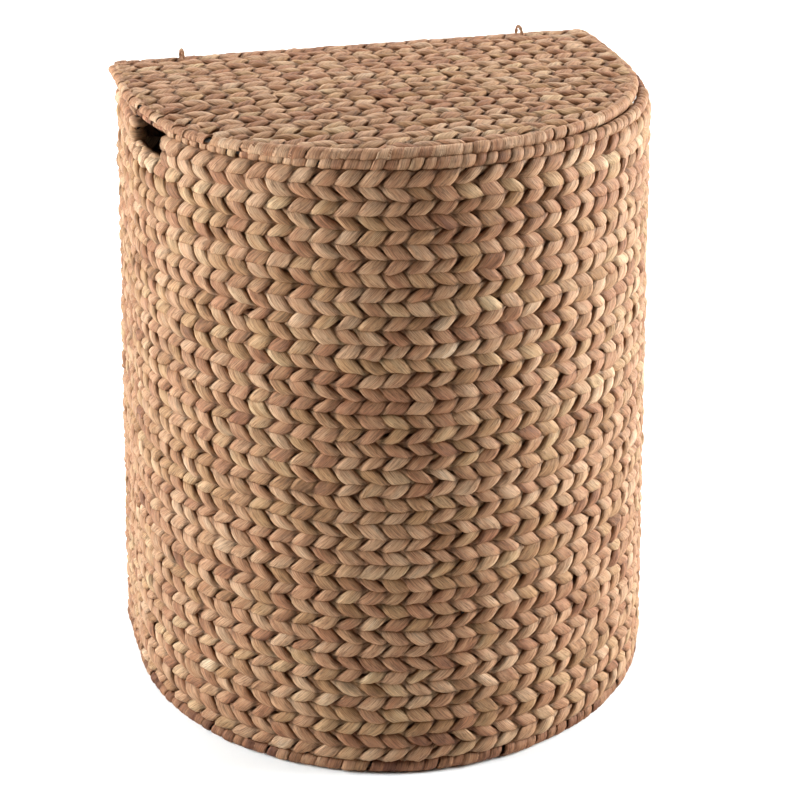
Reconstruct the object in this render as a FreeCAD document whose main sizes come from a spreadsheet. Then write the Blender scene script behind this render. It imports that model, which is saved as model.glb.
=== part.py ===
"""Laundry hamper with lid: a half-round basket of twined water hyacinth on a steel-rod frame.

Frame of the part: +Z up, origin at the middle of the base, on the floor.
+X is the user's right when standing at the round front, -Y is the front, +Y is the flat back.
The plan is a D: a flat back, two short straight sides and a half-circle front.
The walls flare a little towards the floor, so every plan size is scaled by height.
"""
import FreeCAD, Part
import math
import os
import Sketcher
from FreeCAD import Placement, Rotation, Vector

DIMENSIONS = {
    # basket outline
    "RimHeight": 600.0,          # top of the wrapped rim
    "TopRadius": 246.0,          # half the width, and the radius of the round front, at the rim
    "SideStraight": 99.0,        # straight part of each side, from the back to the round front
    "Flare": 0.08,               # how much larger the plan is at the floor than at the rim
    "WallThickness": 14.0,
    "CornerBend": 10.0,          # bend radius of the rods at the two rear corners
    # frame rods
    "HoopRadius": 2.5,
    "PostRadius": 2.5,
    "StakeRadius": 1.5,
    "MiddleHoopRadius": 2.0,
    "MiddleHoopHeight": 300.0,
    # wrapped edges
    "RimWrapRadius": 6.0,
    "BottomWrapRadius": 7.0,
    # handle openings, as angles round the front's centre from the straight side
    "HandleStart": 2.8,
    "HandleEnd": 19.4,
    "HandleSill": 566.0,
    "HandleRodRadius": 2.0,
    "HandleBindingRadius": 5.0,
    "GripRadius": 4.5,
    # base
    "BaseThickness": 12.0,
    # lid
    "HingeDrop": 13.0,           # from the lid's rear rod down to the rim rod it turns about
    "LidRadius": 241.0,          # half the width of the lid
    "LidFront": 160.0,           # from the origin forward to the lid's front edge
    "LidShift": -8.5,            # the lid sits a little to the left in its loose rings
    "LidWrapRadius": 6.0,
    "LidPanelThickness": 11.0,
    "CrossbarRadius": 2.0,
    # hinge rings
    "RingBend": 8.5,
    "RingWireRadius": 1.5,
    "RingRise": 17.0,            # from the rim rod up to the centre of the ring's upper bend
    "RingSpacing": 344.0,
    "RingSlotWidth": 6.0,
    "RingSlotDepth": 9.0,
}

BACK_STATIONS = 22               # stake spacings along the back
FRONT_STATIONS = 48              # stake spacings round the sides and the front
POST_STATIONS = (10, 17, 24, 31, 38)
HANDLE_STATIONS = (6, 7, 8, 9, 39, 40, 41, 42)   # stakes that stop at a handle opening
LID_STAKES = 22                  # stake spacings across the lid
BASE_STAKES = 24                 # stake spacings across the base
BASE_BAR_SHARES = (0.3, 0.62)    # where the base crossbars lie, from the back to the front
LID_BAR_SHARES = (0.265, 0.607)  # the same for the lid
BAR_END_GAP = 1.0                # from a crossbar's end to the edge of its panel

doc = FreeCAD.newDocument("LaundryHamper")
sheet = doc.addObject("Spreadsheet::Sheet", "Dimensions")
for row, (alias, value) in enumerate(DIMENSIONS.items(), start=1):
    sheet.set(f"A{row}", alias)
    sheet.set(f"B{row}", str(value))
    sheet.setAlias(f"B{row}", alias)
doc.recompute()

SIZE = DIMENSIONS
NODES = []


def cell(alias):
    """The spreadsheet cell as an expression."""
    return f"Dimensions.{alias}"


def node(obj, label):
    """Mark a document object as one sub-part and give it its label."""
    obj.Label = label
    NODES.append(obj)
    return obj


def bind(obj, **expressions):
    for name, expression in expressions.items():
        obj.setExpression(name.replace("__", "."), expression)
    return obj


# ---------------------------------------------------------------- plan geometry
def flare_at(height):
    return 1.0 + SIZE["Flare"] * (1.0 - height / SIZE["RimHeight"])


def flare_expression(height):
    return f"(1 + {cell('Flare')} * (1 - ({height}) / {cell('RimHeight')}))"


def basket_depth():
    return SIZE["TopRadius"] + SIZE["SideStraight"]


def basket_plan(height, inset):
    """Half width, centre of the round front and back line at a height, inside the outer face."""
    scale = flare_at(height)
    back = scale * basket_depth() / 2
    return (scale * SIZE["TopRadius"] - inset,
            back - scale * SIZE["SideStraight"],
            back - inset)


def basket_plan_expressions(height, inset):
    scale = flare_expression(height)
    depth = f"({cell('TopRadius')} + {cell('SideStraight')})"
    return {
        "Radius": f"{scale} * {cell('TopRadius')} - ({inset})",
        "Center": f"{scale} * ({depth} / 2 - {cell('SideStraight')})",
        "Back": f"{scale} * {depth} / 2 - ({inset})",
    }


def lid_plan(inset):
    """The lid's D: its rear rod lies straight above the rim's rear rod."""
    back = rim_back() + SIZE["LidWrapRadius"] - inset
    return (SIZE["LidRadius"] - inset, SIZE["LidRadius"] - SIZE["LidFront"], back)


def lid_plan_expressions(inset):
    rim = basket_plan_expressions(RIM_ROD, f"{cell('WallThickness')} / 2")["Back"]
    return {
        "Radius": f"{cell('LidRadius')} - ({inset})",
        "Center": f"{cell('LidRadius')} - {cell('LidFront')}",
        "Back": f"({rim}) + {cell('LidWrapRadius')} - ({inset})",
    }


RIM_ROD = f"({cell('RimHeight')} - {cell('RimWrapRadius')})"
LID_ROD = f"({RIM_ROD} + {cell('HingeDrop')})"


def rim_rod_height():
    return SIZE["RimHeight"] - SIZE["RimWrapRadius"]


def lid_rod_height():
    return rim_rod_height() + SIZE["HingeDrop"]


def rim_back():
    return basket_plan(rim_rod_height(), SIZE["WallThickness"] / 2)[2]


# ---------------------------------------------------------------- sketches
def outline_sketch(sketch, plan, expressions):
    """A closed D with sharp rear corners."""
    radius, center, back = plan
    line, arc = Part.LineSegment, Part.ArcOfCircle
    sketch.addGeometry([
        line(Vector(-radius, back, 0), Vector(radius, back, 0)),
        line(Vector(radius, back, 0), Vector(radius, center, 0)),
        arc(Part.Circle(Vector(0, center, 0), Vector(0, 0, 1), radius), math.pi, 2 * math.pi),
        line(Vector(-radius, center, 0), Vector(-radius, back, 0)),
    ], False)
    rule = Sketcher.Constraint
    sketch.addConstraint([
        rule("Coincident", 0, 2, 1, 1), rule("Tangent", 1, 2, 2, 2),
        rule("Tangent", 2, 1, 3, 1), rule("Coincident", 3, 2, 0, 1),
        rule("Horizontal", 0), rule("Vertical", 1), rule("Vertical", 3),
        rule("PointOnObject", 2, 3, -2),
    ])
    dimension_outline(sketch, 2, 0, plan, expressions)
    return sketch


def rod_path_sketch(sketch, plan, expressions, bend, bend_expression):
    """A closed D with bent rear corners, starting in the middle of the back."""
    radius, center, back = plan
    line, arc = Part.LineSegment, Part.ArcOfCircle
    corner_x, corner_y = radius - bend, back - bend
    up = Vector(0, 0, 1)
    sketch.addGeometry([
        line(Vector(0, back, 0), Vector(corner_x, back, 0)),
        arc(Part.Circle(Vector(corner_x, corner_y, 0), up, bend), 0, math.pi / 2),
        line(Vector(radius, corner_y, 0), Vector(radius, center, 0)),
        arc(Part.Circle(Vector(0, center, 0), up, radius), math.pi, 2 * math.pi),
        line(Vector(-radius, center, 0), Vector(-radius, corner_y, 0)),
        arc(Part.Circle(Vector(-corner_x, corner_y, 0), up, bend), math.pi / 2, math.pi),
        line(Vector(-corner_x, back, 0), Vector(0, back, 0)),
    ], False)
    rule = Sketcher.Constraint
    sketch.addConstraint([
        rule("Tangent", 0, 2, 1, 2), rule("Tangent", 1, 1, 2, 1), rule("Tangent", 2, 2, 3, 2),
        rule("Tangent", 3, 1, 4, 1), rule("Tangent", 4, 2, 5, 2), rule("Tangent", 5, 1, 6, 1),
        rule("Coincident", 6, 2, 0, 1), rule("PointOnObject", 0, 1, -2),
        rule("Horizontal", 0), rule("Horizontal", 6), rule("Vertical", 2), rule("Vertical", 4),
        rule("PointOnObject", 3, 3, -2), rule("Equal", 1, 5),
    ])
    bend_rule = sketch.addConstraint(rule("Radius", 1, bend))
    sketch.renameConstraint(bend_rule, "Bend")
    sketch.setExpression("Constraints.Bend", bend_expression)
    dimension_outline(sketch, 3, 0, plan, expressions)
    return sketch


def dimension_outline(sketch, arc_index, back_index, plan, expressions):
    """Dimension the front radius, its centre and the back line, and bind them to the sheet."""
    rule = Sketcher.Constraint
    radius, center, back = plan
    rules = {
        "Radius": rule("Radius", arc_index, radius),
        "Center": rule("DistanceY", -1, 1, arc_index, 3, center),
        "Back": rule("DistanceY", -1, 1, back_index, 1, back),
    }
    for name, constraint in rules.items():
        sketch.renameConstraint(sketch.addConstraint(constraint), name)
        sketch.setExpression(f"Constraints.{name}", expressions[name])


def circle_in_sketch(sketch, center, radius, center_expressions, radius_expression):
    """One circle, its radius and its centre bound to the sheet."""
    rule = Sketcher.Constraint
    circle = Part.Circle(Vector(center[0], center[1], 0), Vector(0, 0, 1), radius)
    index = sketch.addGeometry(circle, False)
    rules = {
        "Radius": (rule("Radius", index, radius), radius_expression),
        "CenterX": (rule("DistanceX", -1, 1, index, 3, center[0]), center_expressions[0]),
        "CenterY": (rule("DistanceY", -1, 1, index, 3, center[1]), center_expressions[1]),
    }
    for label, (constraint, expression) in rules.items():
        sketch.renameConstraint(sketch.addConstraint(constraint), label)
        sketch.setExpression(f"Constraints.{label}", expression)


def body_plane(body, role):
    return [f for f in body.Origin.OriginFeatures if f.Role == role][0]


def body_sketch(body, name, role):
    sketch = body.newObject("Sketcher::SketchObject", name)
    sketch.AttachmentSupport = [(body_plane(body, role), "")]
    sketch.MapMode = "FlatFace"
    return sketch


def rod_ring(label, plan, expressions, height, height_expression, radius_alias):
    """A round rod swept once round a D path lying at a height."""
    body = doc.addObject("PartDesign::Body", f"{label}_body")
    path = body_sketch(body, f"{label}_path", "XY_Plane")
    path.AttachmentOffset = Placement(Vector(0, 0, height), Rotation())
    path.setExpression("AttachmentOffset.Base.z", height_expression)
    rod_path_sketch(path, plan, expressions, SIZE["CornerBend"], cell("CornerBend"))
    profile = body_sketch(body, f"{label}_profile", "YZ_Plane")
    circle_in_sketch(profile, (plan[2], height), SIZE[radius_alias],
                     (expressions["Back"], height_expression), cell(radius_alias))
    pipe = body.newObject("PartDesign::AdditivePipe", f"{label}_pipe")
    pipe.Profile = profile
    pipe.Spine = (path, [f"Edge{i}" for i in range(1, 8)])
    body.Tip = pipe
    return body


def tapered_d(label, low, low_expression, high, high_expression, inset, inset_expression):
    """A solid between two D outlines at two heights, following the flare of the wall."""
    sections = []
    for name, height, height_expression in (("low", low, low_expression),
                                            ("high", high, high_expression)):
        sketch = doc.addObject("Sketcher::SketchObject", f"{label}_{name}")
        sketch.Placement = Placement(Vector(0, 0, height), Rotation())
        sketch.setExpression("Placement.Base.z", height_expression)
        outline_sketch(sketch, basket_plan(height, inset),
                       basket_plan_expressions(height_expression, inset_expression))
        sections.append(sketch)
    loft = doc.addObject("Part::Loft", label)
    loft.Sections, loft.Solid, loft.Ruled = sections, True, True
    return loft


def cut(name, base, tool):
    obj = doc.addObject("Part::Cut", name)
    obj.Base, obj.Tool = base, tool
    return obj


def cut_in_turn(name, base, tools):
    """Cut tools that touch one another, one after the other."""
    for number, tool in enumerate(tools, start=1):
        base = cut(f"{name}_{number}", base, tool)
    return base


def common(name, base, tool):
    obj = doc.addObject("Part::Common", name)
    obj.Base, obj.Tool = base, tool
    return obj


def group(name, members):
    obj = doc.addObject("Part::Compound", name)
    obj.Links = members
    return obj


def sector(name, start, sweep, low, height, start_expression, sweep_expression,
           low_expression, height_expression):
    """A wedge round the front's centre; angles run from the left side towards the front."""
    tool = doc.addObject("Part::Cylinder", name)
    tool.Radius, tool.Height, tool.Angle = 2 * SIZE["TopRadius"], height, sweep
    center = basket_plan(SIZE["RimHeight"], 0)[1]
    center_expression = basket_plan_expressions(cell("RimHeight"), "0")["Center"]
    tool.Placement = Placement(Vector(0, center, low), Rotation(Vector(0, 0, 1), 180 + start))
    bind(tool, Radius=f"2 * {cell('TopRadius')}", Height=height_expression, Angle=sweep_expression,
         Placement__Base__y=center_expression, Placement__Base__z=low_expression,
         Placement__Rotation__Angle=f"180 + ({start_expression})")
    return tool


def box(name, low, high):
    """A cutting box between two corners."""
    tool = doc.addObject("Part::Box", name)
    tool.Length, tool.Width, tool.Height = (b - a for a, b in zip(low, high))
    tool.Placement = Placement(Vector(*low), Rotation())
    return tool


def rod(name, start, end, radius_alias):
    """A straight round rod between two points."""
    axis = end - start
    obj = doc.addObject("Part::Cylinder", name)
    obj.Radius, obj.Height = SIZE[radius_alias], axis.Length
    obj.Placement = Placement(start, Rotation(Vector(0, 0, 1), axis))
    obj.setExpression("Radius", cell(radius_alias))
    return obj


# ---------------------------------------------------------------- stations of the upright rods
def station(index):
    """Where an upright meets the D; stations run from the left rear corner round the front."""
    radius = SIZE["TopRadius"] - SIZE["WallThickness"] / 2
    straight = SIZE["SideStraight"]
    length = 2 * straight + math.pi * radius
    along = length * index / FRONT_STATIONS
    if along <= straight:
        return ("side", -1, along / straight)
    if along >= length - straight:
        return ("side", 1, (length - along) / straight)
    return ("front", 0, (along - straight) / radius)


def upright_point(place, height):
    kind, side, value = place
    half, center, back = basket_plan(height, SIZE["WallThickness"] / 2)
    if kind == "side":
        return Vector(side * half, back + (center - back) * value, height)
    if kind == "back":
        return Vector(half * value, back, height)
    if kind == "corner":
        tuck = SIZE["CornerBend"] * (1 - math.sqrt(0.5))
        return Vector(side * (half - tuck), back - tuck, height)
    return Vector(-half * math.cos(value), center - half * math.sin(value), height)


def upright(name, place, low, high, radius_alias):
    return rod(name, upright_point(place, low), upright_point(place, high), radius_alias)


# ---------------------------------------------------------------- steel frame of the basket
half_wall = SIZE["WallThickness"] / 2
half_wall_cell = f"{cell('WallThickness')} / 2"
bottom_rod = SIZE["BottomWrapRadius"]
wall_low = 2 * SIZE["BottomWrapRadius"]
wall_high = SIZE["RimHeight"] - 2 * SIZE["RimWrapRadius"]
WALL_LOW = f"(2 * {cell('BottomWrapRadius')})"
WALL_HIGH = f"({cell('RimHeight')} - 2 * {cell('RimWrapRadius')})"

top_hoop = node(rod_ring(
    "top_hoop", basket_plan(rim_rod_height(), half_wall),
    basket_plan_expressions(RIM_ROD, half_wall_cell), rim_rod_height(), RIM_ROD,
    "HoopRadius"), "top_hoop")
bottom_hoop = node(rod_ring(
    "bottom_hoop", basket_plan(bottom_rod, half_wall),
    basket_plan_expressions(cell("BottomWrapRadius"), half_wall_cell), bottom_rod,
    cell("BottomWrapRadius"), "HoopRadius"), "bottom_hoop")
middle_inset = half_wall + SIZE["PostRadius"] + SIZE["MiddleHoopRadius"]
middle_hoop = node(rod_ring(
    "middle_hoop", basket_plan(SIZE["MiddleHoopHeight"], middle_inset),
    basket_plan_expressions(cell("MiddleHoopHeight"),
                            f"{half_wall_cell} + {cell('PostRadius')} + {cell('MiddleHoopRadius')}"),
    SIZE["MiddleHoopHeight"], cell("MiddleHoopHeight"), "MiddleHoopRadius"), "middle_hoop")

post_low = bottom_rod + SIZE["HoopRadius"]
post_high = rim_rod_height() - SIZE["HoopRadius"]
post_places = {
    "rear_corner_post_left": ("corner", -1, 0),
    "rear_corner_post_right": ("corner", 1, 0),
    "rear_center_post": ("back", 0, 0.0),
}
for number, index in enumerate(POST_STATIONS, start=1):
    post_places[f"front_post_{number}"] = station(index)
posts = [node(upright(f"{name}_rod", place, post_low, post_high, "PostRadius"), name)
         for name, place in post_places.items()]

# ---------------------------------------------------------------- handle frames and their bindings
handle_rod = SIZE["HandleSill"] - SIZE["HandleBindingRadius"]
HANDLE_ROD = f"({cell('HandleSill')} - {cell('HandleBindingRadius')})"


def arc_rod(name, start, end, height, height_expression, radius_alias):
    """A round rod bent along the wall's middle line between two angles from the left side."""
    half, center, _ = basket_plan(height, half_wall)
    plan = basket_plan_expressions(height_expression, half_wall_cell)
    ring = doc.addObject("Part::Torus", name)
    ring.Radius1, ring.Radius2, ring.Angle3 = half, SIZE[radius_alias], end - start
    ring.Placement = Placement(Vector(0, center, height), Rotation(Vector(0, 0, 1), 180 + start))
    bind(ring, Radius1=plan["Radius"], Radius2=cell(radius_alias),
         Placement__Base__y=plan["Center"], Placement__Base__z=height_expression)
    return ring


def handle_angles(side):
    """First and last angle of a handle opening, counted from the left side."""
    if side == "left":
        return SIZE["HandleStart"], SIZE["HandleEnd"]
    return 180 - SIZE["HandleEnd"], 180 - SIZE["HandleStart"]


def handle_parts(side):
    start, end = handle_angles(side)
    reach = math.degrees(SIZE["HandleBindingRadius"] / SIZE["TopRadius"])
    low_bar = arc_rod(f"handle_bar_{side}", start - reach, end + reach, handle_rod, HANDLE_ROD,
                      "HandleRodRadius")
    legs = [upright(f"handle_leg_{side}_{name}", ("front", 0, math.radians(angle)),
                    handle_rod + SIZE["HandleRodRadius"], post_high, "HandleRodRadius")
            for name, angle in (("rear", start - reach), ("front", end + reach))]
    frame = node(group(f"handle_frame_{side}_rods", [low_bar] + legs), f"handle_frame_{side}")
    sleeve = arc_rod(f"handle_sleeve_{side}", start, end, handle_rod, HANDLE_ROD,
                     "HandleBindingRadius")
    binding = node(cut(f"handle_binding_{side}_wrap", sleeve, low_bar), f"handle_binding_{side}")
    grip = arc_rod(f"grip_sleeve_{side}", start, end, rim_rod_height(), RIM_ROD, "GripRadius")
    node(cut(f"grip_wrap_{side}_wrap", grip, top_hoop), f"grip_wrap_{side}")
    return frame, binding


handle_frames = {side: handle_parts(side) for side in ("left", "right")}

# ---------------------------------------------------------------- warp stakes of the walls
stake_places = [("back", 0, -1 + 2 * i / BACK_STATIONS)
                for i in range(1, BACK_STATIONS) if i != BACK_STATIONS // 2]
stakes = [upright(f"stake_back_{i}", place, wall_low, wall_high, "StakeRadius")
          for i, place in enumerate(stake_places)]
for index in range(1, FRONT_STATIONS):
    if index in POST_STATIONS:
        continue
    top = wall_high
    if index in HANDLE_STATIONS:
        top = handle_rod - SIZE["HandleBindingRadius"]
    stakes.append(upright(f"stake_front_{index}", station(index), wall_low, top, "StakeRadius"))
warp_stakes = node(group("warp_stake_group", stakes), "warp_stakes")

# ---------------------------------------------------------------- woven walls
outer = tapered_d("wall_outer", wall_low, WALL_LOW, wall_high, WALL_HIGH, 0.0, "0")
inner = tapered_d("wall_inner", wall_low, WALL_LOW, wall_high, WALL_HIGH,
                  SIZE["WallThickness"], cell("WallThickness"))
shell = cut("wall_shell", outer, inner)


def handle_opening(side):
    start, end = handle_angles(side)
    sweep = f"{cell('HandleEnd')} - {cell('HandleStart')}"
    start_cell = cell("HandleStart") if side == "left" else f"180 - {cell('HandleEnd')}"
    return sector(f"handle_opening_{side}", start, end - start, handle_rod,
                  SIZE["RimHeight"] - handle_rod, start_cell, sweep, HANDLE_ROD,
                  f"{cell('RimHeight')} - {HANDLE_ROD}")


def ring_positions():
    return {"left": SIZE["LidShift"] - SIZE["RingSpacing"] / 2,
            "right": SIZE["LidShift"] + SIZE["RingSpacing"] / 2}


def ring_slot(name, x, low, high, reach):
    """The gap in a weave through which a hinge ring passes."""
    half = SIZE["RingSlotWidth"] / 2
    return box(name, (x - half, rim_back() - reach, low), (x + half, rim_back() + reach, high))


def panel_angles():
    """Angles of the posts that divide the front into panels."""
    return [math.degrees(station(index)[2]) for index in POST_STATIONS]


def front_panels():
    angles = panel_angles()
    panels = []
    for number, (start, end) in enumerate(zip(angles, angles[1:]), start=1):
        wedge = sector(f"panel_wedge_{number}", start, end - start, 0, SIZE["RimHeight"],
                       str(start), str(end - start), "0", cell("RimHeight"))
        panels.append(node(common(f"wall_front_{number}_weave", shell, wedge),
                           f"wall_front_{number}"))
    return panels


def back_panel():
    half = SIZE["TopRadius"] - SIZE["WallThickness"] - 1
    window = box("back_window", (-half, SIZE["SideStraight"], 0),
                 (half, basket_depth(), SIZE["RimHeight"]))
    panel = common("back_panel", shell, window)
    slots = [ring_slot(f"wall_slot_{side}", x, wall_high - SIZE["RingSlotDepth"],
                       SIZE["RimHeight"], SIZE["WallThickness"])
             for side, x in ring_positions().items()]
    node(cut("wall_back_weave", panel, group("back_tools", slots)), "wall_back")
    return window


def side_panels(window):
    angles = panel_angles()
    front = sector("front_wedge", angles[0], angles[-1] - angles[0], 0, SIZE["RimHeight"],
                   str(angles[0]), str(angles[-1] - angles[0]), "0", cell("RimHeight"))
    reach = 2 * SIZE["TopRadius"]
    for side, low_x in (("left", -reach), ("right", 0)):
        half_space = box(f"{side}_half", (low_x, -reach, 0), (low_x + reach, reach, SIZE["RimHeight"]))
        half_shell = common(f"{side}_shell", shell, half_space)
        tools = group(f"{side}_tools", [window, front, handle_opening(side), handle_frames[side][1]])
        node(cut(f"wall_side_{side}_weave", half_shell, tools), f"wall_side_{side}")


front_panels()
side_panels(back_panel())

# ---------------------------------------------------------------- wrapped rim and bottom edge
rim = rod_ring("rim_wrap", basket_plan(rim_rod_height(), half_wall),
               basket_plan_expressions(RIM_ROD, half_wall_cell), rim_rod_height(), RIM_ROD,
               "RimWrapRadius")
first, last = handle_angles("left")[1], handle_angles("right")[0]
rim_low = SIZE["RimHeight"] / 2
front_rim_wedge = sector("front_rim_wedge", first, last - first, rim_low, rim_low,
                         cell("HandleEnd"), f"180 - 2 * {cell('HandleEnd')}",
                         f"{cell('RimHeight')} / 2", f"{cell('RimHeight')} / 2")
grip_wedges = [sector(f"grip_wedge_{side}", handle_angles(side)[0],
                      handle_angles(side)[1] - handle_angles(side)[0], rim_low, rim_low,
                      cell("HandleStart") if side == "left" else f"180 - {cell('HandleEnd')}",
                      f"{cell('HandleEnd')} - {cell('HandleStart')}",
                      f"{cell('RimHeight')} / 2", f"{cell('RimHeight')} / 2")
               for side in ("left", "right")]
upright_rods = group("upright_rods", posts + [pair[0] for pair in handle_frames.values()])
front_rim = common("front_rim", rim, front_rim_wedge)
node(cut_in_turn("rim_front", front_rim, [top_hoop, upright_rods]), "rim_wrap_front")
rear_rim = cut("rear_rim", rim, group("rear_rim_wedges", [front_rim_wedge] + grip_wedges))
node(cut_in_turn("rim_back", rear_rim, [top_hoop, upright_rods]), "rim_wrap_back")

bottom_wrap = rod_ring("bottom_wrap", basket_plan(bottom_rod, half_wall),
                       basket_plan_expressions(cell("BottomWrapRadius"), half_wall_cell),
                       bottom_rod, cell("BottomWrapRadius"), "BottomWrapRadius")
node(cut_in_turn("bottom_edge", bottom_wrap, [bottom_hoop, group("post_feet", posts)]),
     "bottom_binding")

# ---------------------------------------------------------------- base
def rods_along_depth(prefix, count, half, center, back, height, radius_alias, shift=0.0):
    """Parallel rods from the back line to the round front, evenly spaced across the width."""
    rods = []
    end_gap = SIZE["StakeRadius"]
    for i in range(1, count):
        x = -half + 2 * half * i / count
        edge = abs(x) + SIZE[radius_alias]
        front = center - math.sqrt(half * half - edge * edge)
        rods.append(rod(f"{prefix}_{i}", Vector(x + shift, back - end_gap, height),
                        Vector(x + shift, front + end_gap, height), radius_alias))
    return rods


def crossbars(prefix, shares, half, center, back, height, shift=0.0):
    """Rods across the width, at shares of the depth from the back line to the front."""
    rods = []
    for number, share in enumerate(shares, start=1):
        y = back + (center - half - back) * share
        reach = half - BAR_END_GAP
        if y < center:
            reach = math.sqrt(half * half - (center - y) ** 2) - BAR_END_GAP
        rods.append(rod(f"{prefix}_{number}", Vector(shift - reach, y, height),
                        Vector(shift + reach, y, height), "CrossbarRadius"))
    return rods


base_height = SIZE["BaseThickness"] / 2
base_half, base_center, base_back = basket_plan(0, SIZE["WallThickness"])
base_stakes = node(group("base_stake_group", rods_along_depth(
    "base_stake", BASE_STAKES, base_half, base_center, base_back, base_height, "StakeRadius")),
    "base_stakes")
bar_height = base_height + SIZE["StakeRadius"] + SIZE["CrossbarRadius"]
base_bars = node(group("base_bar_group", crossbars(
    "base_bar", BASE_BAR_SHARES, base_half, base_center, base_back, bar_height)),
    "base_crossbars")

base_body = doc.addObject("PartDesign::Body", "base_plate_body")
base_sketch = body_sketch(base_body, "base_outline", "XY_Plane")
outline_sketch(base_sketch, basket_plan(0, SIZE["WallThickness"]),
               basket_plan_expressions("0", cell("WallThickness")))
base_pad = base_body.newObject("PartDesign::Pad", "base_pad")
base_pad.Profile, base_pad.Length = base_sketch, SIZE["BaseThickness"]
base_pad.setExpression("Length", cell("BaseThickness"))
base_body.Tip = base_pad
base_tools = group("base_tools", [base_stakes, base_bars, bottom_wrap])
node(cut("base_panel_weave", base_body, base_tools), "base_panel")

# ---------------------------------------------------------------- lid
lid_wrap = SIZE["LidWrapRadius"]
lid_rod_plan = lid_plan(lid_wrap)
lid_rod_expressions = lid_plan_expressions(cell("LidWrapRadius"))
lid_height = lid_rod_height()


def shifted(body):
    """Move a lid piece sideways to where the lid sits in its rings."""
    body.Placement = Placement(Vector(SIZE["LidShift"], 0, 0), Rotation())
    body.setExpression("Placement.Base.x", cell("LidShift"))
    return body


lid_hoop = node(shifted(rod_ring("lid_hoop", lid_rod_plan, lid_rod_expressions, lid_height, LID_ROD,
                                 "HoopRadius")), "lid_hoop")
lid_wrap_ring = shifted(rod_ring("lid_wrap_ring", lid_rod_plan, lid_rod_expressions, lid_height,
                                 LID_ROD, "LidWrapRadius"))
lid_binding = cut("lid_binding", lid_wrap_ring, lid_hoop)

panel_half, panel_center, panel_back = lid_plan(2 * lid_wrap)
lid_stakes = node(group("lid_stake_group", rods_along_depth(
    "lid_stake", LID_STAKES, panel_half, panel_center, panel_back, lid_height, "StakeRadius",
    SIZE["LidShift"])), "lid_stakes")
bar_drop = SIZE["StakeRadius"] + SIZE["CrossbarRadius"]
lid_crossbars = node(group("lid_bar_group", crossbars(
    "lid_bar", LID_BAR_SHARES, panel_half, panel_center, panel_back, lid_height - bar_drop,
    SIZE["LidShift"])), "lid_crossbars")

lid_body = shifted(doc.addObject("PartDesign::Body", "lid_plate_body"))
lid_sketch = body_sketch(lid_body, "lid_outline", "XY_Plane")
lid_low = lid_height - SIZE["LidPanelThickness"] / 2
lid_sketch.AttachmentOffset = Placement(Vector(0, 0, lid_low), Rotation())
lid_sketch.setExpression("AttachmentOffset.Base.z", f"{LID_ROD} - {cell('LidPanelThickness')} / 2")
outline_sketch(lid_sketch, lid_plan(2 * lid_wrap),
               lid_plan_expressions(f"2 * {cell('LidWrapRadius')}"))
lid_pad = lid_body.newObject("PartDesign::Pad", "lid_pad")
lid_pad.Profile, lid_pad.Length = lid_sketch, SIZE["LidPanelThickness"]
lid_pad.setExpression("Length", cell("LidPanelThickness"))
lid_body.Tip = lid_pad
lid_slots = [ring_slot(f"lid_slot_{side}", x, SIZE["RimHeight"], 2 * SIZE["RimHeight"],
                       SIZE["RingBend"] + 2 * SIZE["RingWireRadius"])
             for side, x in ring_positions().items()]
node(cut("lid_panel_weave", lid_body,
         group("lid_tools", [lid_stakes, lid_crossbars, lid_wrap_ring] + lid_slots)), "lid_panel")

back_strip = box("lid_back_strip",
                 (-2 * SIZE["LidRadius"], lid_rod_plan[2] - SIZE["CornerBend"], 0),
                 (2 * SIZE["LidRadius"], lid_rod_plan[2] + 2 * lid_wrap, 2 * SIZE["RimHeight"]))
node(common("lid_back_binding_wrap", lid_binding, back_strip), "lid_back_binding")
node(cut("lid_edge_binding_wrap", lid_binding, back_strip), "lid_edge_binding")


# ---------------------------------------------------------------- hinge rings
def hinge_ring(side, x):
    """A long wire ring round the rim's rear rod and the lid's rear rod."""
    bend, rise = SIZE["RingBend"], SIZE["RingRise"]
    body = doc.addObject("PartDesign::Body", f"hinge_ring_{side}_body")
    path = body_sketch(body, f"hinge_path_{side}", "YZ_Plane")
    line, arc, up = Part.LineSegment, Part.ArcOfCircle, Vector(0, 0, 1)
    path.addGeometry([
        line(Vector(bend, 0, 0), Vector(bend, rise, 0)),
        arc(Part.Circle(Vector(0, rise, 0), up, bend), 0, math.pi),
        line(Vector(-bend, rise, 0), Vector(-bend, 0, 0)),
        arc(Part.Circle(Vector(0, 0, 0), up, bend), math.pi, 2 * math.pi),
    ], False)
    rule = Sketcher.Constraint
    path.addConstraint([
        rule("Tangent", 0, 2, 1, 1), rule("Tangent", 1, 2, 2, 1), rule("Tangent", 2, 2, 3, 1),
        rule("Tangent", 3, 2, 0, 1), rule("Vertical", 0), rule("Coincident", 3, 3, -1, 1),
    ])
    for name, constraint in (("Bend", rule("Radius", 3, bend)),
                             ("Rise", rule("DistanceY", 0, 1, 0, 2, rise))):
        path.renameConstraint(path.addConstraint(constraint), name)
        path.setExpression(f"Constraints.{name}", cell(f"Ring{name}"))
    profile = body_sketch(body, f"hinge_wire_{side}", "XY_Plane")
    index = profile.addGeometry(Part.Circle(Vector(0, bend, 0), up, SIZE["RingWireRadius"]), False)
    profile.addConstraint(rule("PointOnObject", index, 3, -2))
    for name, constraint, expression in (
            ("Wire", rule("Radius", index, SIZE["RingWireRadius"]), cell("RingWireRadius")),
            ("Reach", rule("DistanceY", -1, 1, index, 3, bend), cell("RingBend"))):
        profile.renameConstraint(profile.addConstraint(constraint), name)
        profile.setExpression(f"Constraints.{name}", expression)
    pipe = body.newObject("PartDesign::AdditivePipe", f"hinge_pipe_{side}")
    pipe.Profile, pipe.Spine = profile, (path, ["Edge1", "Edge2", "Edge3", "Edge4"])
    body.Tip = pipe
    body.Placement = Placement(Vector(x, rim_back(), rim_rod_height()), Rotation())
    body.setExpression("Placement.Base.z", RIM_ROD)
    return body


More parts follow.
